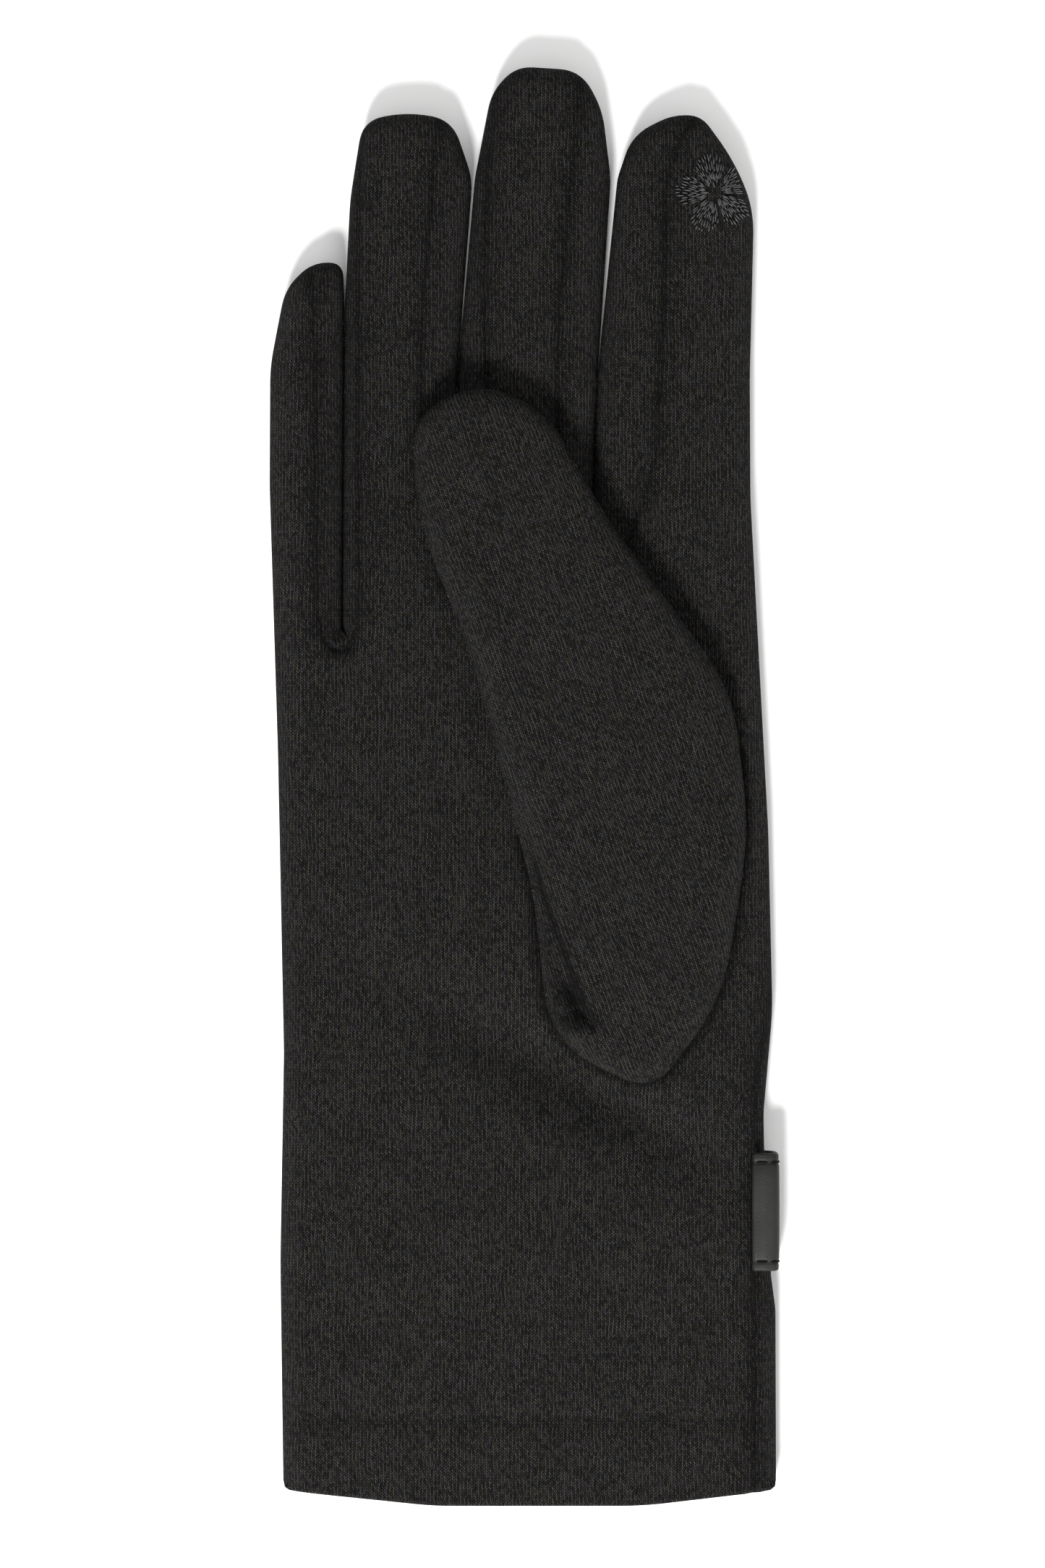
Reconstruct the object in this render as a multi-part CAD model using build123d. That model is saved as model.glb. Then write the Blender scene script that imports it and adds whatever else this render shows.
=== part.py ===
"""A right-hand knit touchscreen glove, lying on its back with the thumb folded over the palm.

Frame, in millimetres: +X towards the index finger, +Y from the cuff to the fingertips, +Z out of the palm.
The origin is the middle of the glove's footprint, on the surface that it lies on.
"""

from build123d import *
import os

os.makedirs("parts", exist_ok=True)

# Cloth and heights
FABRIC = 1.2                 # brushed jersey, thickness of every wall
HAND_TOP = 8.4               # height of the hand and the finger sleeves, laid flat with a little loft
THUMB_LIFT = 0.3             # air between the folded thumb sleeve and the palm
THUMB_TOP = 15.6             # height of the folded thumb's outer face
HINGE_GAP = 0.4              # air between a sleeve's fixed and bending halves
PALM_FLOOR = HAND_TOP - FABRIC

# Cuff
MOUTH_Y = -120.0             # the lowest point of the curved hem
HEM_DEPTH = 15.0             # how far the hem is turned up inside
HEM_THICK = 0.7
HEM_BOW = 2.6                # how much further up the cuff's two corners are than its middle
CUFF_LEFT, CUFF_RIGHT = -40.1, 42.5
CUFF_ROUND = 2.0             # corner radius of the cuff's two corners
HEM_ROUND = 60.0             # radius of the hem's slow curve
HEM_MIDDLE = (-15, 20)       # the part of the hem that is lowest, as two x values

# Strap
STRAP_Y = (-81.3, -61.6)     # its two long edges
STRAP_THICK = 1.0
STRAP_OUT = 42.8             # how far it bows out past the cuff's edge
STRAP_TIP_X = -24.0          # where it ends on the back of the wrist
STRAP_TIP_ROUND = 7.0        # corner radius of that end
STRAP_BEND = 2.2             # outside radius where it turns round the wrist's edge
STRAP_AIR = 0.6              # air between its edges and the dent in the cloth that it lies in
STRAP_CREEP = 0.05           # air between its inner face and that cloth
SEAM_X = 38.7                # side seam on the palm face, where the strap is sewn in
STITCH_INSET = 1.5
STITCH_LONG, STITCH_WIDE, STITCH_DEEP, STITCH_PITCH = 2.2, 0.45, 0.35, 3.0
ROW_START = 3.0              # how far inside the cuff's edge the hem's row of stitches starts
ROW_END = 1.0                # how far before a seam or a bend a row of stitches ends

# Corners of the outline as (x, y, corner radius), anticlockwise from the little-finger side of the cuff
LITTLE_SIDE = [(-40.6, -80, 9), (-40.0, -45, 9), (-41.0, 5, 9), (-42.4, 52, 9)]
INDEX_SIDE = [(37.9, 66, 9), (38.2, 48, 9), (41.4, -8, 20), (41.9, -38, 15), (40.4, -58, 8), (40.5, -80, 3),
              (42.3, -87, 3)]
TIPS = {
    "little": [(-41.9, 71, 12), (-38.3, 86.6, 5), (-31.6, 87.4, 2)],
    "ring": [(-28.6, 97, 12), (-26.3, 111.4, 7), (-12.6, 111.6, 6), (-9.2, 102, 5)],
    "middle": [(-7.9, 101.5, 8), (-4.6, 116.0, 7), (-0.6, 120.0, 2), (9.6, 118.7, 3), (13.0, 113, 6),
               (14.6, 101.5, 8)],
    "index": [(15.9, 101.5, 5), (17.8, 109.4, 6), (25.5, 112.4, 6), (30.0, 111.9, 3), (38.7, 97.5, 12)],
}
# The gap between two neighbouring fingers: its floor, its two edges half-way up, and its middle at the tips
SLIT = 1.0
SLIT_ROUND = 0.45
FINGER_SIDE_ROUND = 30.0     # radius of the slow bend half-way up a finger's inner edge
CROTCHES = {
    "little_ring": {"floor": (-30.2, 25.5), "sides": (-30.3, -29.3), "y": 80, "tips": (-29.7, 90)},
    "ring_middle": {"floor": (-12.4, 29.5), "sides": (-11.6, -10.6), "y": 66, "tips": (-8.5, 102)},
    "middle_index": {"floor": (11.1, 33.5), "sides": (12.2, 13.2), "y": 70, "tips": (15.3, 102)},
}
# The strip of cloth sewn into each gap: its seams with the palm and the back, as a closed outline
FOURCHETTES = {
    "little_ring": [(-35.0, 92), (-34.5, 28), (-32.4, 22.5), (-28.6, 22.5), (-27.2, 28), (-26.8, 96),
                    (-26.0, 116)],
    "ring_middle": [(-14.6, 116), (-15.6, 98), (-17.5, 66), (-17.8, 34), (-14.4, 26), (-10.6, 26), (-7.0, 34),
                    (-6.3, 70), (-5.6, 98), (-4.4, 124)],
    "middle_index": [(9.6, 124), (7.6, 94), (5.5, 62), (5.2, 40), (9.0, 30), (13.2, 30), (17.7, 40.6),
                     (22.5, 54), (23.7, 90), (24.4, 103), (29.1, 114)],
}
# The back's cloth wraps round the index side on to the palm: its edge is the side seam
SIDE_WRAP = [(SEAM_X, -130), (SEAM_X, -50), (42.6, -28), (60, -28), (60, -130)]
# Where each finger sleeve bends
KNUCKLE_Y = {"little": 50.0, "ring": 68.0, "middle": 69.0, "index": 62.0}

# Thumb: a leaf-shaped sleeve sewn round a hole in the palm
THUMB_OUTLINE = [(-17.4, 46, 14), (-18.2, 61.5, 8), (-6, 65.4, 9), (3.6, 61.6, 9), (13.9, 43.8, 40),
                 (34.8, 14.8, 14), (37.2, -6, 30), (33.6, -33, 15), (21.8, -50, 6), (5.6, -42.4, 8),
                 (1.8, -18, 20), (-8.8, 22, 40)]
THUMB_TURN = 20.0            # degrees that the sleeve leans away from +Y
THUMB_HINGE = (16.5, -2.0)
THUMB_HOLE = {"centre": (19.0, -25.0), "radii": (10.5, 14.5)}

# Conductive embroidery on the index fingertip
FLOWER_CENTRE = (31.4, 97.6)
PETALS = 5
PETAL_LONG, PETAL_WIDE = 3.4, 2.2      # half length and half width of a petal
PETAL_TURN = 34.0            # direction of the first petal, in degrees from +X
FLOWER_THICK = 0.4
FLOWER_INSET = 0.3           # how far it stays inside the fingertip's outline

# Lines well clear of the glove, for cutting to
SLEEVE_END = MOUTH_Y - 5
BEYOND_TIPS = 130.0
BESIDE = 60.0


def rounded_face(corners):
    """A flat face from (x, y, corner radius) corners."""
    points = [(x, y) for x, y, _ in corners]
    radii = [radius for _, _, radius in corners]
    return make_face(FilletPolyline(*points, radius=radii, close=True))


def polygon(points):
    """A flat face with sharp corners."""
    return make_face(Polyline(*points, close=True))


def rectangle(left, right, low, high):
    """A flat rectangle between two x values and two y values."""
    return Pos((left + right) / 2, (low + high) / 2) * Rectangle(right - left, high - low)


def prism(face, low, high):
    """A flat face stood up between two heights."""
    return Pos(0, 0, low) * extrude(face, high - low, dir=(0, 0, 1))


def shell(outer, inner, region, low, high):
    """Floor, walls and roof of a hollow sleeve, over one region of its plan."""
    return prism(outer & region, low, high) - prism(inner & region, low + FABRIC, high - FABRIC)


def main_solid(shape):
    """The largest solid of a cut, without the crumbs beside it."""
    return max(shape.solids(), key=lambda solid: solid.volume)


def save(name, shape):
    export_step(shape, f"parts/{name}.step")


def dashes(first, last):
    """Start and end of each thread dash in a straight row, measured along the row."""
    count = int((last - first) // STITCH_PITCH)
    pitch = (last - first) / count
    middles = [first + (k + 0.5) * pitch for k in range(count)]
    return [(middle - STITCH_LONG / 2, middle + STITCH_LONG / 2) for middle in middles]


def stitch_row(left, right, y):
    """Plan of a row of thread dashes along x."""
    return [rectangle(a, b, y - STITCH_WIDE / 2, y + STITCH_WIDE / 2) for a, b in dashes(left, right)]


def glove_corners():
    """The outline of the hand and fingers, from one side of the cuff round to its other side."""
    corners = [(CUFF_LEFT, MOUTH_Y + HEM_BOW, CUFF_ROUND)] + LITTLE_SIDE + TIPS["little"]
    for gap, finger in (("little_ring", "ring"), ("ring_middle", "middle"), ("middle_index", "index")):
        x, floor = CROTCHES[gap]["floor"]
        left, right = CROTCHES[gap]["sides"]
        half_way = CROTCHES[gap]["y"]
        corners += [(left, half_way, FINGER_SIDE_ROUND), (x - SLIT / 2, floor, SLIT_ROUND)]
        corners += [(x + SLIT / 2, floor, SLIT_ROUND), (right, half_way, FINGER_SIDE_ROUND)] + TIPS[finger]
    corners += INDEX_SIDE + [(CUFF_RIGHT, MOUTH_Y + HEM_BOW, CUFF_ROUND)]
    left, right = HEM_MIDDLE
    return corners + [(right, MOUTH_Y, HEM_ROUND), (left, MOUTH_Y, HEM_ROUND)]


outline = rounded_face(glove_corners())
mouth = rectangle(CUFF_LEFT + FABRIC, CUFF_RIGHT - FABRIC, SLEEVE_END, MOUTH_Y + HEM_DEPTH / 2)
cavity = offset(outline, amount=-FABRIC) + mouth
strips = {gap: polygon(points) for gap, points in FOURCHETTES.items()}


def parting(gap):
    """The line up the middle of the gap between two fingers."""
    x, floor = CROTCHES[gap]["floor"]
    left, right = CROTCHES[gap]["sides"]
    tip_x, tip_y = CROTCHES[gap]["tips"]
    return [(x, 0), (x, floor), ((left + right) / 2, CROTCHES[gap]["y"]), (tip_x, tip_y), (tip_x, BEYOND_TIPS)]


partings = [[(-BESIDE, 0), (-BESIDE, BEYOND_TIPS)]]
partings += [parting(gap) for gap in CROTCHES]
partings += [[(BESIDE, 0), (BESIDE, BEYOND_TIPS)]]
bands = {finger: polygon(partings[k] + partings[k + 1][::-1]) for k, finger in enumerate(KNUCKLE_Y)}


def finger_zone(finger, start):
    """The plan of one finger sleeve, from start past its knuckle to beyond its tip."""
    return bands[finger] & rectangle(-BESIDE, BESIDE, KNUCKLE_Y[finger] + start, BEYOND_TIPS)


def cloth_between_strips(region):
    """The glove's plan over a region, without the fourchettes."""
    for strip in strips.values():
        region = region - strip
    return outline & region


# The hand, as far as each knuckle
hand_region = rectangle(-BESIDE, BESIDE, SLEEVE_END, BEYOND_TIPS)
for finger in KNUCKLE_Y:
    hand_region = hand_region - finger_zone(finger, -HINGE_GAP / 2)
hand_cloth = cloth_between_strips(hand_region)
side_wrap = polygon(SIDE_WRAP)
thumb_hole = Pos(*THUMB_HOLE["centre"]) * Rot(0, 0, THUMB_TURN) * Ellipse(*THUMB_HOLE["radii"])
hem_row = stitch_row(CUFF_LEFT + ROW_START, SEAM_X - ROW_END, MOUTH_Y + HEM_DEPTH - STITCH_INSET)
hem_over = [prism(dash, HAND_TOP - STITCH_DEEP, HAND_TOP) for dash in hem_row]
hem_under = [prism(dash, 0, STITCH_DEEP) for dash in hem_row]


def palm_panel():
    """The palm side of the hand and cuff, with the hole that the thumb goes through."""
    return prism(hand_cloth - side_wrap - thumb_hole, PALM_FLOOR, HAND_TOP) - hem_over


def back_panel():
    """The back of the hand, its walls, the cloth wrapped on to the palm, and a dent for the strap."""
    low, high = STRAP_Y[0] - STRAP_AIR, STRAP_Y[1] + STRAP_AIR
    room = rectangle(STRAP_TIP_X - STRAP_AIR, BESIDE, low, high)
    rise = rectangle(STRAP_TIP_X - STRAP_AIR - FABRIC, SEAM_X + 1, low - FABRIC, high + FABRIC)
    dent = STRAP_THICK + STRAP_CREEP
    panel = prism(hand_cloth, 0, PALM_FLOOR) - prism(cavity & hand_cloth, FABRIC, PALM_FLOOR)
    panel = panel + prism(hand_cloth & side_wrap, PALM_FLOOR, HAND_TOP) - prism(room, -1, dent)
    return panel + prism(rise & hand_cloth, FABRIC, FABRIC + dent) - hem_under


def cuff_hem():
    """The band of cloth turned up inside the cuff."""
    zone = rectangle(-BESIDE, BESIDE, MOUTH_Y, MOUTH_Y + HEM_DEPTH) & outline
    edge = FABRIC + HEM_THICK
    inner_mouth = rectangle(CUFF_LEFT + edge, CUFF_RIGHT - edge, SLEEVE_END, MOUTH_Y + HEM_DEPTH / 2)
    inner = (offset(cavity, amount=-HEM_THICK) + inner_mouth) & zone
    return prism(cavity & zone, FABRIC, PALM_FLOOR) - prism(inner, edge, HAND_TOP - edge)


def make_hand():
    """Palm and back of the hand and cuff, the crotch end of each fourchette, and the hem."""
    save("palm_panel", main_solid(palm_panel()))
    save("back_panel", main_solid(back_panel()))
    save("cuff_hem", main_solid(cuff_hem()))
    save("hem_stitching", Compound(children=[main_solid(dash) for dash in hem_over + hem_under]))
    for gap, strip in strips.items():
        save(f"fourchette_{gap}", main_solid(shell(outline, cavity, strip & hand_region, 0, HAND_TOP)))


def make_finger(finger):
    """The bending half of a finger sleeve: palm side, back side, and a fourchette on each inner edge."""
    zone = finger_zone(finger, HINGE_GAP / 2)
    cloth = cloth_between_strips(zone)
    save(f"{finger}_palm_side", main_solid(prism(cloth, PALM_FLOOR, HAND_TOP)))
    back = prism(cloth, 0, PALM_FLOOR) - prism(cavity & cloth, FABRIC, PALM_FLOOR)
    save(f"{finger}_back_side", main_solid(back))
    for gap, strip in strips.items():
        left_finger, right_finger = gap.split("_")
        if finger in (left_finger, right_finger):
            side = "right" if finger == left_finger else "left"
            save(f"{finger}_fourchette_{side}", main_solid(shell(outline, cavity, strip & zone, 0, HAND_TOP)))


def past_thumb_hinge(start):
    """The half plane that lies further than start past the thumb's hinge line, towards its tip."""
    half = Pos(0, start + BEYOND_TIPS / 2) * Rectangle(2 * BEYOND_TIPS, BEYOND_TIPS)
    return Pos(*THUMB_HINGE) * Rot(0, 0, THUMB_TURN) * half


def make_thumb():
    """A leaf-shaped sleeve: its base is sewn to the palm round the hole, and the rest lifts at its hinge."""
    leaf = rounded_face(THUMB_OUTLINE)
    inside = offset(leaf, amount=-FABRIC)
    base = shell(leaf, inside, leaf - past_thumb_hinge(-HINGE_GAP / 2), HAND_TOP, THUMB_TOP)
    save("thumb_base", main_solid(base - prism(thumb_hole, HAND_TOP, HAND_TOP + FABRIC)))
    sleeve = shell(leaf, inside, past_thumb_hinge(HINGE_GAP / 2), HAND_TOP + THUMB_LIFT, THUMB_TOP)
    save("thumb_sleeve", main_solid(sleeve))


def make_flower():
    """Petals of conductive thread on the index fingertip."""
    flower = Circle(PETAL_WIDE / 2)
    for petal in range(PETALS):
        turn = PETAL_TURN + petal * 360 / PETALS
        flower = flower + Rot(0, 0, turn) * Pos(PETAL_LONG, 0) * Ellipse(PETAL_LONG, PETAL_WIDE)
    flower = Pos(*FLOWER_CENTRE) * flower & offset(outline, amount=-FLOWER_INSET)
    save("touch_flower", main_solid(prism(flower, HAND_TOP, HAND_TOP + FLOWER_THICK)))


def strap_section(inset, bend):
    """The line that one face of the strap follows: over the palm side, round the edge, and along the back."""
    top, out = HAND_TOP + STRAP_THICK - inset, STRAP_OUT - inset
    return FilletPolyline((SEAM_X, top), (out, top), (out, inset), (STRAP_TIP_X, inset), radius=bend)


def make_strap():
    """A stitched strap, sewn into the side seam, round the wrist's edge and along the back."""
    low, high = STRAP_Y
    with BuildSketch(Plane.XZ) as section:
        with BuildLine():
            outer = strap_section(0, STRAP_BEND)
            inner = strap_section(STRAP_THICK, STRAP_BEND - STRAP_THICK)
            Line(outer @ 0, inner @ 0)
            Line(outer @ 1, inner @ 1)
        make_face()
    strap = Pos(0, high, 0) * extrude(section.sketch, high - low, dir=(0, -1, 0))
    plan = rounded_face([(STRAP_TIP_X, low, STRAP_TIP_ROUND), (STRAP_TIP_X, high, STRAP_TIP_ROUND),
                         (BESIDE, high, 1), (BESIDE, low, 1)])
    strap = strap & prism(plan, -1, THUMB_TOP)
    rows = []
    for y in (low + STITCH_INSET, high - STITCH_INSET):
        row = stitch_row(STRAP_TIP_X + STRAP_TIP_ROUND, STRAP_OUT - STRAP_BEND - ROW_END, y)
        rows += [prism(dash, 0, STITCH_DEEP) for dash in row]
    save("strap", main_solid(strap - rows))
    save("strap_stitching", Compound(children=[main_solid(dash) for dash in rows]))


make_hand()
make_thumb()
make_flower()
make_strap()
for finger in KNUCKLE_Y:
    make_finger(finger)
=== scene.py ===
"""The looks of a right-hand knit touchscreen glove, palm up, with its thumb folded over the palm.

The cloth is built as a plan, in millimetres, of the hand, fingers and thumb, with a height for its palm side
and one for its back. Each panel between two seams becomes its own piece, which stands for the CAD node of the
same name. A piece past a hinge has its transform baked into its points and is not made to bend.
"""

import math

import bpy
import numpy as np
from mathutils.geometry import delaunay_2d_cdt
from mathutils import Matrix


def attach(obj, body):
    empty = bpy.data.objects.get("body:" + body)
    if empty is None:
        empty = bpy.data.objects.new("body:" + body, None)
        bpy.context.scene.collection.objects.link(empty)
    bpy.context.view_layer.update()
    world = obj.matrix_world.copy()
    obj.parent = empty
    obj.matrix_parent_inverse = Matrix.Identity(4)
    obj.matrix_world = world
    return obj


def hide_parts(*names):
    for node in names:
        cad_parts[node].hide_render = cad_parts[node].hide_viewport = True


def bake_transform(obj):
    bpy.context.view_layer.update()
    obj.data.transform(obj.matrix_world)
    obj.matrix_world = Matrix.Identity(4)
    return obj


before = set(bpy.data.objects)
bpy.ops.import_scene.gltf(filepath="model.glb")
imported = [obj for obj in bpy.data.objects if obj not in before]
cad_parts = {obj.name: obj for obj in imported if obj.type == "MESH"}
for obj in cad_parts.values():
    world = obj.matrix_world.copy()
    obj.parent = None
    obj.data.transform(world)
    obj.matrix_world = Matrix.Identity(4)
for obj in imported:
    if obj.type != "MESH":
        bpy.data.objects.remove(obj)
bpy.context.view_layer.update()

# ---------------------------------------------------------------- sizes, in millimetres
MM = 0.001
HAND_TOP = 8.4
THUMB_TOP = 15.6
MOUTH_Y = -120.0
HEM_DEPTH = 15.0             # length of the hem inside the cuff
HEM_BOW = 2.6                # how far the cuff's edge bows out between its corners
HEM_STITCH_Y = -106.5
HEM_FOLD = 0.62              # radius of the fold at the cuff's edge
CUFF_LEFT, CUFF_RIGHT = -40.1, 42.5
SEAM_X = 38.7
STRAP_Y = (-81.3, -61.6)
STRAP_TIP_X = -24.0
STRAP_OUT = 42.8             # x of its outermost face, beside the glove
STRAP_THICK = 1.0
STRAP_LIFT = 0.9             # how far its outer face stands above the palm
STRAP_BEND = 4.3             # radius of its bends round the glove's side
STRAP_EDGE = 0.45            # radius of its folded edges
STRAP_GROOVE = 1.55          # from its edge in to its row of stitches
STRAP_END = 8.0              # length of its rounded end
KNUCKLE_Y = {"little": 50.0, "ring": 68.0, "middle": 69.0, "index": 62.0}
FINGER_BAND = {"little": (-50, -29.8), "ring": (-29.8, -11.1), "middle": (-11.1, 12.7),
               "index": (12.7, 50)}
ROUND_EDGE = 4.6             # how far in from a fold the cloth reaches its full height
MIDDLE_HEIGHT = HAND_TOP / 2
THREAD_SIDES = 6
ON_OUTLINE = 0.02            # a point nearer than this to the outline is on its fold

# Lines as (x, y, corner radius)
LITTLE_SIDE = [(-40.6, -80, 60), (-40.0, -45, 60), (-41.0, 5, 90), (-42.4, 50, 90)]
INDEX_SIDE = [(38.1, 68, 90), (38.2, 48, 90), (41.2, -8, 90), (41.9, -38, 60), (40.4, -55, 20),
              (40.5, -61.6, 1), (41.8, -63, 2), (41.8, -80, 2), (41.6, -82, 2), (42.4, -88, 12)]
TIPS = {
    "little": [(-42.3, 70, 30), (-39.8, 83.0, 14), (-35.4, 87.3, 9), (-30.1, 87.5, 3)],
    "ring": [(-28.9, 98, 40), (-26.8, 111.2, 9), (-19.5, 112.6, 30), (-11.8, 111.4, 12), (-8.4, 101.5, 12)],
    "middle": [(-8.0, 101.5, 20), (-5.2, 116.0, 16), (-1.0, 120.3, 6), (9.8, 119.6, 7), (13.4, 113, 16),
               (14.8, 101.5, 20)],
    "index": [(15.9, 101.5, 10), (18.4, 108.8, 12), (25.0, 112.1, 20), (29.9, 112.1, 5), (35.2, 104.9, 40),
              (38.8, 96.5, 24)],
}
SLIT = 0.06                  # the gap left between two fingers that lie side by side
GAP_ROUND = 30.0
# Where two fingers part: the floor of the gap, a point half-way up it, and its end between the tips
CROTCHES = {
    "little_ring": {"floor": (-30.2, 25.5), "side": -29.8, "y": 80, "tips": (-29.6, 90)},
    "ring_middle": {"floor": (-8.6, 33.5), "side": -11.1, "y": 66, "tips": (-8.2, 101.5)},
    "middle_index": {"floor": (11.1, 33.5), "side": 12.7, "y": 70, "tips": (15.35, 101.5)},
}
# Seams round the strips of cloth in the gaps, each left open beyond the fingertips
FOURCHETTES = {
    "little_ring": [(-35.4, 92, 1), (-34.6, 70, 20), (-34.3, 28, 4), (-32.4, 22.5, 3), (-28.6, 22.5, 3),
                    (-27.2, 28, 4), (-27.4, 96, 20), (-26.0, 120, 1)],
    "ring_middle": [(-12.6, 120, 1), (-14.6, 107, 20), (-16.8, 78, 40), (-17.0, 56, 20), (-13.4, 34, 6),
                    (-10.6, 30, 3), (-7.0, 30, 3), (-4.6, 36, 6), (-6.3, 78, 40), (-5.6, 104, 20),
                    (-2.4, 128, 1)],
    "middle_index": [(10.4, 128, 1), (8.4, 103, 20), (6.2, 80, 30), (5.2, 42, 6), (9.0, 30, 4), (13.2, 30, 4),
                     (17.7, 40.6, 10), (22.3, 54, 20), (23.6, 77, 30), (24.0, 101, 12), (26.5, 108.4, 8),
                     (30.4, 114, 1)],
}
SIDE_SEAM = [(SEAM_X, -125, 1), (SEAM_X, -50, 30), (42.6, -28, 1)]
THUMB_OUTLINE = [(-17.6, 44, 60), (-18.6, 61.5, 10), (-7.0, 67.0, 12), (3.9, 62.2, 20), (14.4, 43.8, 90),
                 (35.0, 15.6, 30), (37.8, -8, 60), (33.6, -36, 40), (21.6, -51.5, 7), (4.6, -43.4, 16),
                 (1.8, -18, 90), (-8.8, 22, 90)]
THUMB_TURN = 20.0            # degrees from +Y to the line of the thumb
THUMB_HINGE = (16.5, -2.0)
THUMB_ROUND = 5.2            # how far in from its fold the thumb reaches its full height
LAP_EDGE = [(-1.0, -2, 1), (3.6, -19, 20), (6.6, -27.5, 20), (10.2, -37.0, 6), (15.0, -43.0, 1)]
LAP_TOP = HAND_TOP + 2.9     # height of the layer that the thumb's upper layer laps over
POCKET = {"at": (8.2, -35.4), "half": (1.3, 3.2), "turn": 28}
FLOWER_CENTRE = (32.2, 98.6)
PETAL_TURN = 30.0

# Soft hollows and swells: lift, centre, half lengths, turn
PALM_SWELLS = [
    (-3.6, (7, -49), (26, 5.6), -30),              # the crease below the thumb
    (-0.7, (-30, -20), (8, 26), -8),               # the hollow beside the thumb
    (0.35, (4, -76), (15, 9), 20),                 # the cuff
    (-0.35, (22, -92), (13, 5), 14),
    (0.35, (-26, -98), (10, 5), -14),
    (-0.45, (0, HEM_STITCH_Y), (60, 1.5), 0.0),    # the pull of the hem's stitches
    (-0.5, (10, 20), (22, 30), 20),                # pressed down by the thumb
]
THUMB_SWELLS = [
    (0.7, (12, 0), (14, 50), 20),                  # plump along its middle
    (-1.2, (19, -44), (9, 9), 0.0),                # lower where it meets the palm
]


# ---------------------------------------------------------------- lines and distances in the plan
def resample(line, step):
    """Points every step along a line."""
    line = np.asarray(line, float)
    along = np.concatenate([[0], np.cumsum(np.linalg.norm(np.diff(line, axis=0), axis=1))])
    count = max(2, int(round(along[-1] / step)))
    t = np.linspace(0, along[-1], count + 1)
    return np.column_stack([np.interp(t, along, line[:, k]) for k in range(line.shape[1])])


def rounded(corners, closed, step=0.7):
    """A line through (x, y, radius) corners with each inner corner turned into an arc."""
    points = [np.array(c[:2], float) for c in corners]
    line = []
    for i, (_, _, radius) in enumerate(corners):
        p = points[i]
        if not closed and i in (0, len(corners) - 1):
            line.append(p)
            continue
        before, after = points[i - 1], points[(i + 1) % len(corners)]
        a, b = before - p, after - p
        la, lb = np.linalg.norm(a), np.linalg.norm(b)
        a, b = a / la, b / lb
        half = math.acos(np.clip(a @ b, -1, 1)) / 2
        reach = min(radius / math.tan(half), 0.48 * la, 0.48 * lb)
        for t in np.linspace(0, 1, 9):
            line.append(p + a * reach * (1 - t) ** 2 + b * reach * t ** 2)
    if closed:
        line.append(line[0])
    return resample(line, step)


def nearest(points, line):
    """Distance from each point to a line, and the unit direction to its nearest point."""
    starts, runs = line[:-1], np.diff(line, axis=0)
    squares = np.maximum((runs ** 2).sum(1), 1e-12)
    distance, direction = np.empty(len(points)), np.empty((len(points), 2))
    for k in range(0, len(points), 1500):
        p = points[k:k + 1500]
        t = np.clip(((p[:, None] - starts) * runs).sum(2) / squares, 0, 1)
        gap = starts + t[..., None] * runs - p[:, None]
        length = np.sqrt((gap ** 2).sum(2))
        best = length.argmin(1)
        rows = np.arange(len(p))
        distance[k:k + 1500] = length[rows, best]
        direction[k:k + 1500] = gap[rows, best] / np.maximum(length[rows, best], 1e-6)[:, None]
    return distance, direction


def inside(points, loop):
    """True where a point lies inside a closed loop."""
    found = np.zeros(len(points), bool)
    x, y = points[:, 0], points[:, 1]
    for (x0, y0), (x1, y1) in zip(loop[:-1], loop[1:]):
        if y0 != y1:
            crosses = (y0 > y) != (y1 > y)
            found ^= crosses & (x < (x1 - x0) * (y - y0) / (y1 - y0) + x0)
    return found


def left_normals(line):
    """Unit normals of a line, on its left."""
    run = np.gradient(line, axis=0)
    run /= np.maximum(np.linalg.norm(run, axis=1), 1e-9)[:, None]
    return np.column_stack([-run[:, 1], run[:, 0]])


def thinned(fixed, groups):
    """The points of several groups that crowd neither a fixed point nor an earlier one."""
    cell = 0.22
    taken, kept = {}, []
    for loose, points in [(False, fixed)] + [(True, group) for group in groups]:
        for p in points:
            column, row = math.floor(p[0] / cell), math.floor(p[1] / cell)
            near = [taken.get((column + i, row + j)) for i in (-1, 0, 1) for j in (-1, 0, 1)]
            if loose and any(q is not None and math.dist(p, q) < cell for q in near):
                continue
            taken[(column, row)] = p
            if loose:
                kept.append(tuple(p))
    return kept


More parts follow.
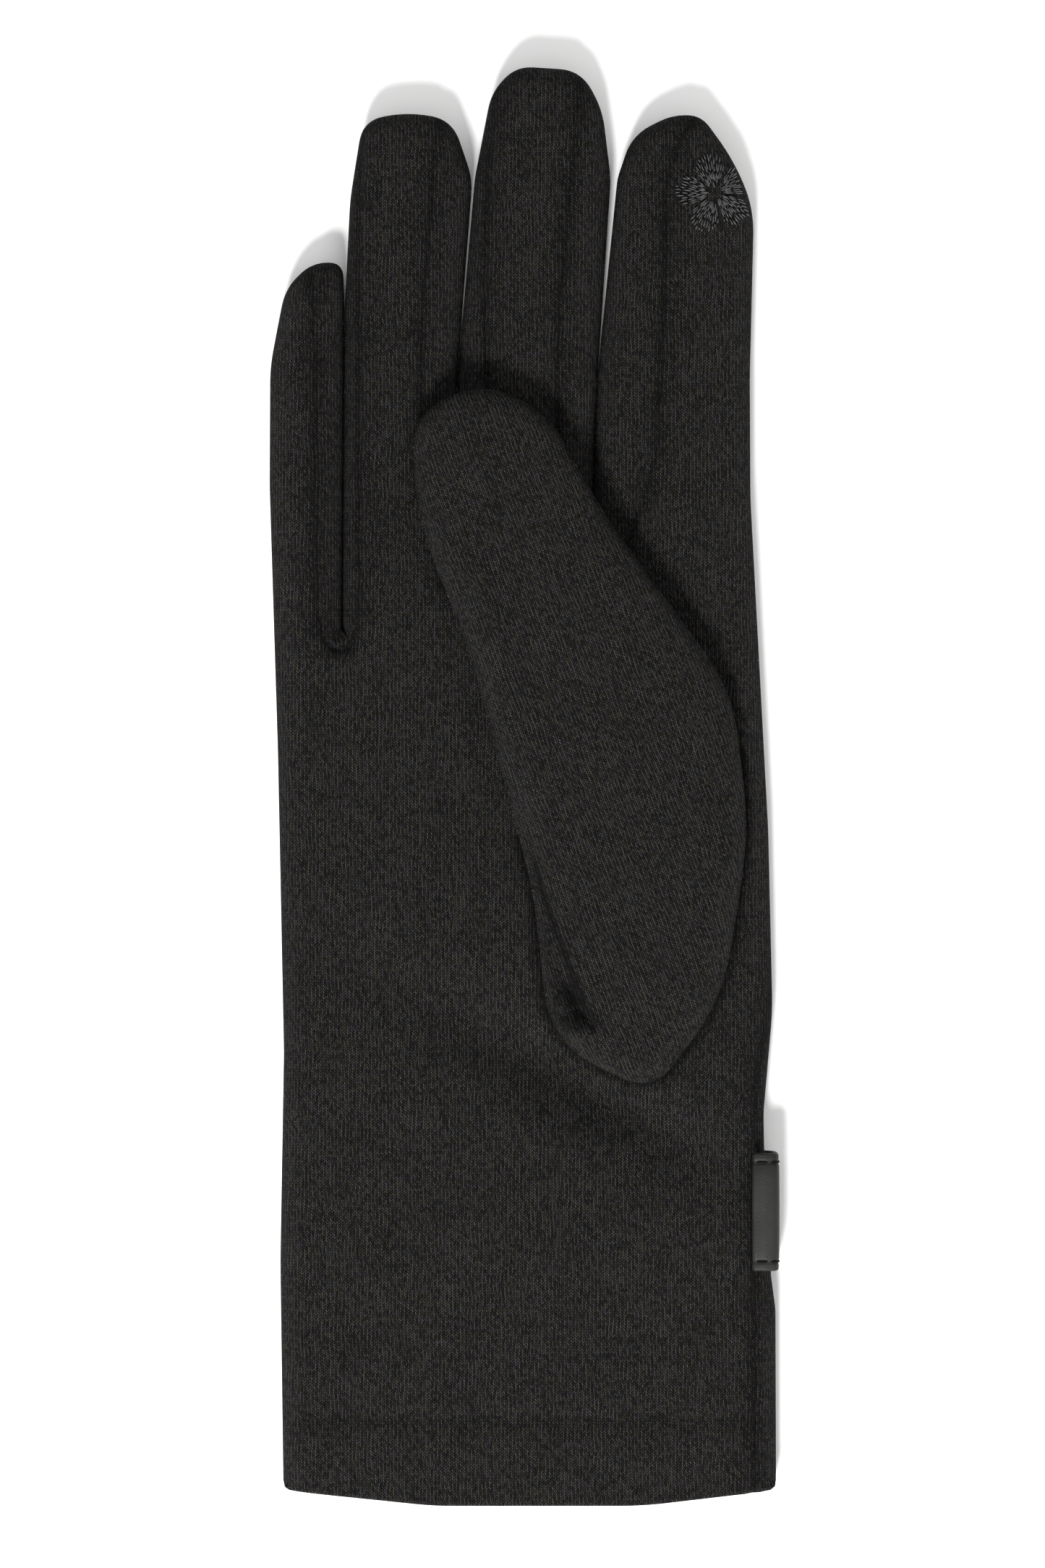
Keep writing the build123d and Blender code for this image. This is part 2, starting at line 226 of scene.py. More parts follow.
def plan_mesh(outline, seams, cuts):
    """Triangles over a closed outline, finer along its edge and its seams. Seams and cuts become edges."""
    grid = 1.15
    edge_offsets = (0.08, 0.3, 0.65, 1.1, 1.7, 2.5)
    seam_offsets = (0.3, 0.7, 1.2)
    groups = []
    for offset in edge_offsets:
        for sign in (1, -1):
            ring = outline + sign * offset * left_normals(outline)
            clear = nearest(ring, outline)[0] > 0.93 * offset
            groups.append(ring[clear & inside(ring, outline)])
    for seam in seams:
        for offset in seam_offsets:
            for sign in (1, -1):
                row = seam + sign * offset * left_normals(seam)
                clear = (nearest(row, outline)[0] > 0.4) & inside(row, outline)
                groups.append(row[clear])
    low, high = outline.min(0), outline.max(0)
    rows = np.arange(low[1], high[1], grid * 0.87)
    columns = np.arange(low[0], high[0], grid)
    field = np.array([(x + (j % 2) * grid / 2, y) for j, y in enumerate(rows) for x in columns])
    field = field[inside(field, outline)]
    clear = nearest(field, outline)[0] > edge_offsets[-1] + 0.5
    for seam in seams:
        clear &= nearest(field, seam)[0] > seam_offsets[-1] + 0.4
    groups.append(field[clear])

    fixed, edges = [], []
    for line in [outline] + seams + cuts:
        first = len(fixed)
        fixed += [tuple(p) for p in line]
        edges += [(first + k, first + k + 1) for k in range(len(line) - 1)]
    points, _, faces = delaunay_2d_cdt(fixed + thinned(fixed, groups), edges, [], 0, 1e-4)[:3]
    points = np.array([tuple(p) for p in points])
    faces = np.array([tuple(f) for f in faces])
    return points, faces[inside(points[faces].mean(1), outline)]


# ---------------------------------------------------------------- heights
def bump(x, y, at, half, turn):
    """1 at a point, falling smoothly to 0 about its half lengths away, along turned axes."""
    c, s = math.cos(math.radians(turn)), math.sin(math.radians(turn))
    u = ((x - at[0]) * c + (y - at[1]) * s) / half[0]
    v = ((y - at[1]) * c - (x - at[0]) * s) / half[1]
    return np.exp(-(u * u + v * v))


def add_swells(height, x, y, swells):
    """Heights with soft hollows and swells added."""
    for lift, at, half, turn in swells:
        height = height + lift * bump(x, y, at, half, turn)
    return height


def step(value, start, end):
    """0 before start, 1 after end, smooth between."""
    t = np.clip((value - start) / (end - start), 0, 1)
    return t * t * (3 - 2 * t)


def ripple(x, y, seed, size):
    """Soft unevenness of cloth that was laid down by hand, about 1 at most."""
    draw = np.random.default_rng(seed)
    total = np.zeros(len(x))
    for _ in range(14):
        turn, phase = draw.uniform(0, 2 * np.pi, 2)
        wave = size * draw.uniform(0.7, 2.2)
        total += np.sin((x * np.cos(turn) + 0.6 * y * np.sin(turn)) * 2 * np.pi / wave + phase)
    return total / 14 * 2


def crown(distance, round_edge):
    """Height of a rolled edge, from 0 at the fold to 1 at round_edge inside it."""
    t = 1 - np.clip(distance / round_edge, 0, 1)
    return np.sqrt(np.maximum(1 - t * t, 0))


def seam_dip(distance, deep):
    """A seam: a narrow dip with a low swell on both sides."""
    dip = -deep * np.exp(-(distance / 0.6) ** 2)
    swell = 0.25 * deep * np.exp(-((distance - 1.5) / 0.8) ** 2)
    return dip + swell


def painted_seam_shade(seams):
    """Painted shade near the seams, from 0 to 1: how much the cloth's colour is darkened there."""
    total = sum(0.3 * np.exp(-(seam / 0.6) ** 2) + 0.3 * np.exp(-(seam / 2.4) ** 2) for seam in seams)
    return np.minimum(total, 1.0)


def unrolled(points, distance, direction, round_edge, half_height):
    """Plan coordinates let out over the rolled edge, so that the knit keeps its size on the glove's sides."""
    angles = np.linspace(0, np.pi / 2, 60)
    reach = round_edge * (1 - np.cos(angles))
    runs = np.hypot(np.diff(reach), half_height * np.diff(np.sin(angles)))
    left = np.concatenate([np.cumsum(runs[::-1])[::-1], [0]]) - (round_edge - reach)
    return points + direction * np.interp(distance, reach, left)[:, None]


# ---------------------------------------------------------------- making pieces
def vertex_normals(points, faces):
    """Unit normals at the points of a mesh of triangles, each face weighted by its area."""
    corners = points[faces]
    across = np.cross(corners[:, 1] - corners[:, 0], corners[:, 2] - corners[:, 0])
    normals = np.zeros_like(points)
    for k in range(3):
        np.add.at(normals, faces[:, k], across)
    return normals / np.maximum(np.linalg.norm(normals, axis=1), 1e-12)[:, None]


def make_mesh(name, points, faces, material, normals=None, uv=None, painted_shade=None):
    """An object from points in millimetres. Painted_shade is how much painted shade darkens each point's
    colour, in seams, creases and round the thumb.
    """
    mesh = bpy.data.meshes.new(name)
    mesh.from_pydata((np.asarray(points) * MM).tolist(), [], [list(map(int, f)) for f in faces])
    mesh.polygons.foreach_set("use_smooth", [True] * len(mesh.polygons))
    if uv is not None:
        layer = mesh.uv_layers.new(name="cloth")
        corner = np.empty(len(mesh.loops), np.int32)
        mesh.loops.foreach_get("vertex_index", corner)
        layer.data.foreach_set("uv", np.asarray(uv, np.float32)[corner].ravel())
    if painted_shade is not None:
        layer = mesh.attributes.new("painted_shade", "FLOAT", "POINT")
        layer.data.foreach_set("value", np.asarray(painted_shade, np.float32))
    if normals is not None:
        mesh.normals_split_custom_set_from_vertices(normals.tolist())
    mesh.materials.append(material)
    piece = bpy.data.objects.new(name, mesh)
    bpy.context.scene.collection.objects.link(piece)
    return piece


def cut_piece(sheet, chosen, name, material):
    """One panel out of a sheet, with the whole sheet's normals, so that panels meet without a line."""
    used, where = np.unique(sheet["faces"][chosen], return_inverse=True)
    return make_mesh(name, sheet["points"][used], where.reshape(-1, 3), material, sheet["normals"][used],
                     sheet["uv"][used], sheet["painted_shade"][used])


def grid_faces(rows, columns):
    """Quads round a pipe whose points are stored ring by ring, each ring joined to itself."""
    return [(r * columns + c, r * columns + (c + 1) % columns, (r + 1) * columns + (c + 1) % columns,
             (r + 1) * columns + c) for r in range(rows - 1) for c in range(columns)]


def end_caps(rows, columns):
    """The two faces that close the ends of such a pipe."""
    return [tuple(range(columns))[::-1], tuple(range((rows - 1) * columns, rows * columns))]


def tube(path, radius):
    """Points and faces of a thread with tapered, closed ends along a path."""
    run = np.gradient(path, axis=0)
    run /= np.maximum(np.linalg.norm(run, axis=1), 1e-9)[:, None]
    side = np.cross(run, (0, 0, 1.0))
    short = np.linalg.norm(side, axis=1) < 1e-6
    side[short] = (1.0, 0, 0)
    side /= np.linalg.norm(side, axis=1)[:, None]
    up = np.cross(side, run)
    t = np.linspace(-1, 1, len(path))
    width = radius * np.sqrt(np.maximum(1 - t ** 6, 0.02))
    points = []
    for k in range(len(path)):
        for j in range(THREAD_SIDES):
            a = 2 * np.pi * j / THREAD_SIDES
            points.append(path[k] + width[k] * (math.cos(a) * side[k] + math.sin(a) * up[k]))
    faces = grid_faces(len(path), THREAD_SIDES) + end_caps(len(path), THREAD_SIDES)
    return points, faces


def threads(name, paths, radius, material):
    """One piece made of many short threads."""
    points, faces = [], []
    for path in paths:
        more, new = tube(path, radius)
        faces += [tuple(i + len(points) for i in f) for f in new]
        points += more
    return make_mesh(name, points, faces, material)


# ---------------------------------------------------------------- materials
def new_material(name, rough):
    """A material, its node tree and its shader."""
    material = bpy.data.materials.new(name)
    material.use_nodes = True
    shader = material.node_tree.nodes["Principled BSDF"]
    shader.inputs["Roughness"].default_value = rough
    return material, material.node_tree, shader


def math_node(tree, operation, a, b=None, clamp=False):
    """A math node; a and b are sockets or numbers. Returns its output."""
    node = tree.nodes.new("ShaderNodeMath")
    node.operation = operation
    node.use_clamp = clamp
    for socket, value in zip(node.inputs, (a, b)):
        if isinstance(value, bpy.types.NodeSocket):
            tree.links.new(value, socket)
        elif value is not None:
            socket.default_value = value
    return node.outputs[0]


def noise(tree, vector, scale, detail, rough=0.5):
    """Soft noise from 0 to 1."""
    node = tree.nodes.new("ShaderNodeTexNoise")
    node.inputs["Scale"].default_value = scale
    node.inputs["Detail"].default_value = detail
    node.inputs["Roughness"].default_value = rough
    tree.links.new(vector, node.inputs["Vector"])
    return node.outputs["Fac"]


def ramp(tree, factor, stops):
    """Colours picked by a factor from (place, colour) stops."""
    node = tree.nodes.new("ShaderNodeValToRGB")
    while len(node.color_ramp.elements) < len(stops):
        node.color_ramp.elements.new(0.5)
    for element, (at, colour) in zip(node.color_ramp.elements, stops):
        element.position = at
        element.color = (*colour, 1)
    tree.links.new(factor, node.inputs["Fac"])
    return node.outputs["Color"]


def bump_node(tree, height, distance, strength, before=None):
    """Relief: distance is how many millimetres a height of 1 stands up."""
    node = tree.nodes.new("ShaderNodeBump")
    node.inputs["Distance"].default_value = distance * MM
    node.inputs["Strength"].default_value = strength
    tree.links.new(height, node.inputs["Height"])
    if before is not None:
        tree.links.new(before, node.inputs["Normal"])
    return node.outputs["Normal"]


def jersey_material(name, turn=0.0):
    """Fine brushed jersey: columns of V-shaped stitches, heathered black, with a soft nap, painted shade on
    each stitch's right leg and painted shade read from the mesh.
    """
    wale, course = 0.62, 0.47    # width of a column of stitches and height of a row, in millimetres
    material, tree, shader = new_material(name, 0.92)
    uv = tree.nodes.new("ShaderNodeUVMap")
    uv.uv_map = "cloth"
    mapping = tree.nodes.new("ShaderNodeMapping")
    mapping.inputs["Rotation"].default_value = (0, 0, math.radians(-turn))
    tree.links.new(uv.outputs[0], mapping.inputs["Vector"])
    vector = mapping.outputs[0]
    parts = tree.nodes.new("ShaderNodeSeparateXYZ")
    tree.links.new(vector, parts.inputs[0])

    # The stitches: two slanting legs in each column, drawn a little off their grid
    waver = noise(tree, vector, 0.16, 5.0)
    shift = math_node(tree, "MULTIPLY", math_node(tree, "SUBTRACT", waver, 0.5), 1.1)
    across = math_node(tree, "DIVIDE", math_node(tree, "ADD", parts.outputs[0], shift), wale)
    along = math_node(tree, "DIVIDE", math_node(tree, "ADD", parts.outputs[1], shift), course)
    share = math_node(tree, "FRACT", across)
    off_middle = math_node(tree, "ABSOLUTE", math_node(tree, "SUBTRACT", share, 0.5))
    slant = math_node(tree, "SUBTRACT", along, math_node(tree, "MULTIPLY", off_middle, 2.1))
    leg = math_node(tree, "SINE", math_node(tree, "MULTIPLY", math_node(tree, "FRACT", slant), math.pi))
    ridge = math_node(tree, "SINE", math_node(tree, "MULTIPLY", off_middle, 2 * math.pi))
    ridge = math_node(tree, "ADD", math_node(tree, "MULTIPLY", ridge, 0.7), 0.3)
    stitch = math_node(tree, "MULTIPLY", leg, ridge)
    fibre = noise(tree, vector, 7.0, 4.0, 0.7)
    height = math_node(tree, "ADD", stitch, math_node(tree, "MULTIPLY", fibre, 0.6))

    # Their tone: each leg its own, the right-hand ones darker as painted shade, with flecks, worn patches and
    # lint
    cell = tree.nodes.new("ShaderNodeCombineXYZ")
    tree.links.new(math_node(tree, "FLOOR", math_node(tree, "MULTIPLY", across, 2.0)), cell.inputs[0])
    tree.links.new(math_node(tree, "FLOOR", slant), cell.inputs[1])
    chance = tree.nodes.new("ShaderNodeTexWhiteNoise")
    chance.noise_dimensions = "2D"
    tree.links.new(cell.outputs[0], chance.inputs["Vector"])
    each = math_node(tree, "ADD", math_node(tree, "MULTIPLY", chance.outputs["Value"], 0.9), 0.55)
    # painted shade: each stitch's right-hand leg is darker, as if the light fell from the lower left
    right_leg = math_node(tree, "GREATER_THAN", share, 0.5)
    painted_leg_shade = math_node(tree, "SUBTRACT", 1.0, math_node(tree, "MULTIPLY", right_leg, 0.35))
    each = math_node(tree, "MULTIPLY", each, painted_leg_shade)
    fleck = math_node(tree, "ADD", 0.6, math_node(tree, "MULTIPLY", fibre, 0.8))
    tone = math_node(tree, "MULTIPLY", math_node(tree, "MULTIPLY", stitch, each), fleck)
    patch = math_node(tree, "MULTIPLY", noise(tree, vector, 0.11, 6.0, 0.65), 0.36)
    tone = math_node(tree, "MULTIPLY", tone, math_node(tree, "ADD", 0.82, patch))
    lint = math_node(tree, "SUBTRACT", noise(tree, vector, 1.9, 2.0), 0.735)
    tone = math_node(tree, "ADD", tone, math_node(tree, "MULTIPLY", lint, 7.0, clamp=True))
    # Painted shade: the mesh's painted_shade attribute darkens the colour in seams, creases, the hem's crease
    # and round the thumb
    painted_shade = tree.nodes.new("ShaderNodeAttribute")
    painted_shade.attribute_name = "painted_shade"
    kept = math_node(tree, "SUBTRACT", 1.0, math_node(tree, "MULTIPLY", painted_shade.outputs["Fac"], 0.62))
    tone = math_node(tree, "MULTIPLY", tone, kept)
    greys = [(0.0, 0.0006), (0.2, 0.0045), (0.45, 0.0152), (1.0, 0.058)]
    base = ramp(tree, tone, [(at, (value,) * 3) for at, value in greys])
    hues = [(0.38, (0.98, 0.92, 1.02)), (0.62, (1.05, 1.0, 0.80))]
    hue = ramp(tree, noise(tree, vector, 0.8, 4.0, 0.7), hues)
    tint = tree.nodes.new("ShaderNodeMix")
    tint.data_type = "RGBA"
    tint.blend_type = "MULTIPLY"
    tint.inputs["Factor"].default_value = 1.0
    tree.links.new(base, tint.inputs["A"])
    tree.links.new(hue, tint.inputs["B"])
    tree.links.new(tint.outputs["Result"], shader.inputs["Base Color"])
    tree.links.new(bump_node(tree, height, 0.22, 1.0), shader.inputs["Normal"])
    shader.inputs["Specular IOR Level"].default_value = 0.03
    shader.inputs["Sheen Weight"].default_value = 0.015
    shader.inputs["Sheen Roughness"].default_value = 0.45
    shader.inputs["Sheen Tint"].default_value = (0.75, 0.74, 0.78, 1)
    return material


def leather_material():
    """Thin black leather: fine pores, soft creases and a satin shine that dulls in the creases."""
    material, tree, shader = new_material("black_leather", 0.55)
    place = tree.nodes.new("ShaderNodeTexCoord").outputs["Object"]
    pores = tree.nodes.new("ShaderNodeTexVoronoi")
    pores.feature = "DISTANCE_TO_EDGE"
    pores.inputs["Scale"].default_value = 1900
    tree.links.new(place, pores.inputs["Vector"])
    cells = math_node(tree, "MINIMUM", math_node(tree, "MULTIPLY", pores.outputs["Distance"], 4.0), 1.0)
    folds = noise(tree, place, 420, 5.0, 0.6)
    wear = noise(tree, place, 90, 4.0, 0.6)
    tree.links.new(ramp(tree, wear, [(0.35, (0.011, 0.011, 0.0102)), (0.75, (0.021, 0.021, 0.0192))]),
                   shader.inputs["Base Color"])
    tree.links.new(ramp(tree, wear, [(0.3, (0.5,) * 3), (0.8, (0.62,) * 3)]), shader.inputs["Roughness"])
    first = bump_node(tree, cells, 0.03, 0.6)
    tree.links.new(bump_node(tree, folds, 0.12, 0.5, first), shader.inputs["Normal"])
    shader.inputs["Specular IOR Level"].default_value = 0.16
    return material


def thread_material(name, colour, rough, shine):
    """Twisted thread with a slight change of tone along it."""
    material, tree, shader = new_material(name, rough)
    place = tree.nodes.new("ShaderNodeTexCoord").outputs["Object"]
    tone = noise(tree, place, 1500, 3.0, 0.6)
    dark = tuple(c * 0.45 for c in colour)
    tree.links.new(ramp(tree, tone, [(0.3, dark), (0.65, colour)]), shader.inputs["Base Color"])
    twist = tree.nodes.new("ShaderNodeTexWave")
    twist.bands_direction = "DIAGONAL"
    twist.inputs["Scale"].default_value = 2600
    tree.links.new(place, twist.inputs["Vector"])
    tree.links.new(bump_node(tree, twist.outputs["Fac"], 0.03, 0.5), shader.inputs["Normal"])
    shader.inputs["Specular IOR Level"].default_value = shine
    return material


jersey = jersey_material("black_jersey")
thumb_jersey = jersey_material("black_jersey_thumb", turn=THUMB_TURN)
leather = leather_material()
black_thread = thread_material("black_thread", (0.008, 0.008, 0.0078), 0.7, 0.05)
touch_thread = thread_material("grey_conductive_thread", (0.05, 0.05, 0.051), 0.4, 0.45)


# ---------------------------------------------------------------- the hand and fingers
def glove_outline():
    """The outline of the hand and fingers, from the little finger's side round to the index finger's."""
    corners = [(CUFF_LEFT, MOUTH_Y + HEM_BOW, 1)] + LITTLE_SIDE + TIPS["little"]
    for gap, finger in (("little_ring", "ring"), ("ring_middle", "middle"), ("middle_index", "index")):
        x, floor = CROTCHES[gap]["floor"]
        side, half_way = CROTCHES[gap]["side"], CROTCHES[gap]["y"]
        corners += [(side - SLIT / 2, half_way, GAP_ROUND), (x - SLIT / 2, floor, 0.1),
                    (x + SLIT / 2, floor, 0.1), (side + SLIT / 2, half_way, GAP_ROUND)] + TIPS[finger]
    corners += INDEX_SIDE + [(CUFF_RIGHT, MOUTH_Y + HEM_BOW, 1), (20, MOUTH_Y, 60), (-15, MOUTH_Y, 60)]
    return rounded(corners, closed=True)


outline = glove_outline()
mouth_level = MOUTH_Y + HEM_BOW + 0.8
first_above = int(np.argmax(outline[:, 1] > mouth_level))
turned = np.roll(outline[:-1], -first_above, axis=0)
folds = turned[turned[:, 1] > mouth_level]
seam_lines = {gap: rounded(corners, closed=False) for gap, corners in FOURCHETTES.items()}
side_seam = rounded(SIDE_SEAM, closed=False)


def palm_height(p, distance, seams):
    """Height of the palm side: crowned between its folds, dipped at its seams, and softly uneven."""
    x, y = p[:, 0], p[:, 1]
    top = HAND_TOP - 0.25 + 0.16 * ripple(x, y, seed=3, size=16) + 0.10 * ripple(x, y, seed=5, size=7)
    top += 0.25 * (1 - np.exp(-(distance / 7) ** 2))
    top = add_swells(top, x, y, PALM_SWELLS)
    for seam in seams:
        top += seam_dip(seam, 0.6)
    return top


def back_height(p, seams):
    """Height of the back, which rests on the surface below and on the strap."""
    x, y = p[:, 0], p[:, 1]
    low = 0.35 + 0.18 * np.abs(ripple(x, y, seed=11, size=15))
    strap = step(x, STRAP_TIP_X - 1.5, STRAP_TIP_X) * step(y, STRAP_Y[0] - 1.6, STRAP_Y[0] - 0.4)
    low += (STRAP_THICK + 0.1) * strap * (1 - step(y, STRAP_Y[1] + 0.4, STRAP_Y[1] + 1.6))
    low += 0.35 * bump(x, y, (0, HEM_STITCH_Y), (60, 1.2), 0.0)
    for seam in seams:
        low -= seam_dip(seam, 0.9)
    return low


def palm_surface(p):
    """Palm-side height at any points of the hand and fingers."""
    distance = nearest(p, folds)[0]
    seams = [nearest(p, line)[0] for line in list(seam_lines.values()) + [side_seam]]
    return MIDDLE_HEIGHT + (palm_height(p, distance, seams) - MIDDLE_HEIGHT) * crown(distance, ROUND_EDGE)


def two_sided(p, faces, rim, top, bottom, uv, painted_shade_top, painted_shade_bottom):
    """One closed sheet from a plan: its palm side, then its back, joined along the rim."""
    count = len(p)
    lower = np.where(rim, np.arange(count), 0)
    lower[~rim] = count + np.arange((~rim).sum())
    points = np.vstack([np.column_stack([p, top]), np.column_stack([p, bottom])[~rim]])
    all_faces = np.vstack([faces, lower[faces][:, ::-1]])
    uv = np.vstack([uv, (uv * (-1, 1))[~rim]])
    # painted shade of the palm side, then of the back
    painted_shade = np.concatenate([painted_shade_top, painted_shade_bottom[~rim]])
    return {"points": points, "faces": all_faces, "uv": uv, "painted_shade": painted_shade,
            "normals": vertex_normals(points, all_faces), "middle": p[faces].mean(1)}


def counterclockwise(p, faces):
    """The same triangles, all turned the same way."""
    a, b, c = p[faces[:, 0]], p[faces[:, 1]], p[faces[:, 2]]
    turn = (b[:, 0] - a[:, 0]) * (c[:, 1] - a[:, 1]) - (b[:, 1] - a[:, 1]) * (c[:, 0] - a[:, 0])
    faces = faces.copy()
    faces[turn < 0] = faces[turn < 0][:, ::-1]
    return faces


def past_hinge(p):
    """How far points are past the thumb's hinge line, towards the thumb's tip."""
    turn = math.radians(THUMB_TURN)
    return (p - np.array(THUMB_HINGE)) @ np.array([-math.sin(turn), math.cos(turn)])


def glove_sheet():
    """The whole skin of the hand and fingers."""
    cuts = [resample([(left, KNUCKLE_Y[finger]), (right, KNUCKLE_Y[finger])], 0.8)
            for finger, (left, right) in FINGER_BAND.items()]
    p, faces = plan_mesh(outline, list(seam_lines.values()) + [side_seam], cuts)
    faces = counterclockwise(p, faces)
    distance, direction = nearest(p, folds)
    seams = [nearest(p, line)[0] for line in seam_lines.values()]
    wrap = nearest(p, side_seam)[0]
    edge = crown(distance, ROUND_EDGE)
    top = MIDDLE_HEIGHT + (palm_height(p, distance, seams + [wrap]) - MIDDLE_HEIGHT) * edge
    bottom = MIDDLE_HEIGHT + (back_height(p, seams) - MIDDLE_HEIGHT) * edge
    uv = unrolled(p, distance, direction, ROUND_EDGE, MIDDLE_HEIGHT)
    leaf = rounded(THUMB_OUTLINE, closed=True)
    # Painted shade: a painted shadow on the palm round the thumb's base, painted shade along the hem's stitch
    # line and in the seams
    painted_thumb_shadow = np.where(past_hinge(p) > 0, 0.0, 0.9 * np.exp(-(nearest(p, leaf)[0] / 1.0) ** 2))
    painted_hem_shade = 0.3 * np.exp(-((p[:, 1] - HEM_STITCH_Y) / 0.7) ** 2)
    painted_shade = np.minimum(painted_seam_shade(seams + [wrap]) + painted_thumb_shadow + painted_hem_shade, 1.0)
    painted_shade_back = np.minimum(painted_seam_shade(seams) + painted_hem_shade, 1.0)
    return two_sided(p, faces, distance < ON_OUTLINE, top, bottom, uv, painted_shade, painted_shade_back)


def in_band(middle, finger):
    """Which triangles, by their middles, are past a finger's knuckle and between its two gaps."""
    chosen = middle[:, 1] > KNUCKLE_Y[finger]
    for gap, crotch in CROTCHES.items():
        corners = [(*crotch["floor"], 0), (crotch["side"], crotch["y"], GAP_ROUND), (*crotch["tips"], 0)]
        line = rounded(corners, closed=False)
        gap_x = np.interp(middle[:, 1], line[:, 1], line[:, 0])
        left_finger, right_finger = gap.split("_")
        if finger == left_finger:
            chosen &= middle[:, 0] < gap_x
        if finger == right_finger:
            chosen &= middle[:, 0] > gap_x
    return chosen


def bends_with(piece):
    """A piece past its knuckle: its transform is baked into its points, and it is not made to bend."""
    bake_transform(piece)


def make_glove():
    """Every panel of the hand and fingers, each standing for the CAD node of its name."""
    sheet = glove_sheet()
    middle = sheet["middle"]
    strips = {gap: inside(middle, np.vstack([line, line[:1]])) for gap, line in seam_lines.items()}
    any_strip = np.any(list(strips.values()), axis=0)
    moving = {finger: in_band(middle, finger) for finger in KNUCKLE_Y}
    still = ~np.any(list(moving.values()), axis=0)
    seam_x = np.interp(middle[:, 1], side_seam[:, 1], side_seam[:, 0])
    wrapped = (middle[:, 0] > seam_x) & (middle[:, 1] < side_seam[-1, 1])
    none = np.zeros(len(middle), bool)

    def panel(node, over, under, body=None, finger=None):
        piece = cut_piece(sheet, np.concatenate([over, under]), f"{node}_cloth", jersey)
        if finger:
            bends_with(piece)
        else:
            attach(piece, body)
        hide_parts(node)

    plain = still & ~any_strip
    panel("palm_panel", plain & ~wrapped, none, body="hand")
    panel("back_panel", plain & wrapped, plain, body="hand")
    for gap, strip in strips.items():
        panel(f"fourchette_{gap}", strip & still, strip & still, body="hand")
    for finger, zone in moving.items():
        panel(f"{finger}_palm_side", zone & ~any_strip, none, finger=finger)
        panel(f"{finger}_back_side", none, zone & ~any_strip, finger=finger)
        for gap, strip in strips.items():
            left_finger, right_finger = gap.split("_")
            if finger in (left_finger, right_finger):
                side = "right" if finger == left_finger else "left"
                panel(f"{finger}_fourchette_{side}", zone & strip, zone & strip, finger=finger)
    return sheet


glove = make_glove()


# ---------------------------------------------------------------- the hem
def mouth_ring(sheet):
    """Points and normals of the cuff's open edge, in order round the wrist."""
    edges = {}
    for a, b, c in sheet["faces"]:
        for u, v in ((a, b), (b, c), (c, a)):
            edges[(u, v)] = True
    free = {u: v for u, v in edges if (v, u) not in edges}
    start = next(iter(free))
    ring, at = [start], free[start]
    while at != start:
        ring.append(at)
        at = free[at]
    return sheet["points"][ring], sheet["normals"][ring]


def make_hem(sheet):
    """The cuff's edge turned inside: a soft fold, then a band of cloth up the inside of the cuff."""
    ring, normals = mouth_ring(sheet)
    outward = normals * (1, 0, 1)
    outward /= np.linalg.norm(outward, axis=1)[:, None]
    rows = [ring]
    for a in np.linspace(0, np.pi, 9)[1:]:
        rows.append(ring - outward * HEM_FOLD * (1 - math.cos(a)) - np.array([0, HEM_FOLD * math.sin(a), 0]))
    inner = rows[-1]
    for depth in np.linspace(0, HEM_DEPTH, 12)[1:]:
        rows.append(inner + np.array([0, depth, 0]) - outward * 0.25 * math.sin(depth))
    points = np.vstack(rows)
    run = np.concatenate([[0], np.cumsum(np.linalg.norm(np.diff(ring, axis=0), axis=1))])
    steps = [np.linalg.norm(after[0] - before[0]) for before, after in zip(rows[:-1], rows[1:])]
    back = np.concatenate([[0], np.cumsum(steps)])
    uv = np.array([(run[c], -back[r]) for r in range(len(rows)) for c in range(len(ring))])
    faces = grid_faces(len(rows), len(ring))
    piece = make_mesh("cuff_hem_cloth", points, faces, jersey, uv=uv)
    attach(piece, "hand")
    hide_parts("cuff_hem")


make_hem(glove)


# ---------------------------------------------------------------- the thumb
def thumb_heights(p, distance):
    """Upper and lower height of the thumb, plump along its middle and lapped near its base, and its painted
    shade under the lap and in its pocket.
    """
    x, y = p[:, 0], p[:, 1]
    top = add_swells(THUMB_TOP - 0.9 + 0.2 * ripple(x, y, seed=21, size=14), x, y, THUMB_SWELLS)
    middle = HAND_TOP + 1.5 + 1.7 * step(y, -10, 35)
    lap_line = rounded(LAP_EDGE, closed=False)
    lap = nearest(p, lap_line)[0]
    beside = (x < np.interp(y, lap_line[::-1, 1], lap_line[::-1, 0])) & (y < -8)
    share = step(-y, 6, 18) * (1 - step(-y, 38, 42))
    under = np.where(beside, step(lap, 0.0, 0.8), 0.0) * share
    dent = bump(x, y, **POCKET)
    upper = middle + (top - middle) * crown(distance, THUMB_ROUND) ** 0.9
    flap = middle + (LAP_TOP - middle) * crown(distance, 1.6)
    upper += (np.minimum(flap, upper) - upper) * under
    upper -= 1.5 * dent * crown(distance, 1.0)
    rest = palm_surface(p) + 0.12 - 0.5 * step(-past_hinge(p), 1, 6)
    lower = middle - (middle - rest) * crown(distance, 2.5)
    # painted shade along the lapped layer's edge and in the pocket's dent
    painted_shade = np.minimum(1.0, np.exp(-(lap / 0.6) ** 2) * share + dent)
    return upper, lower, painted_shade


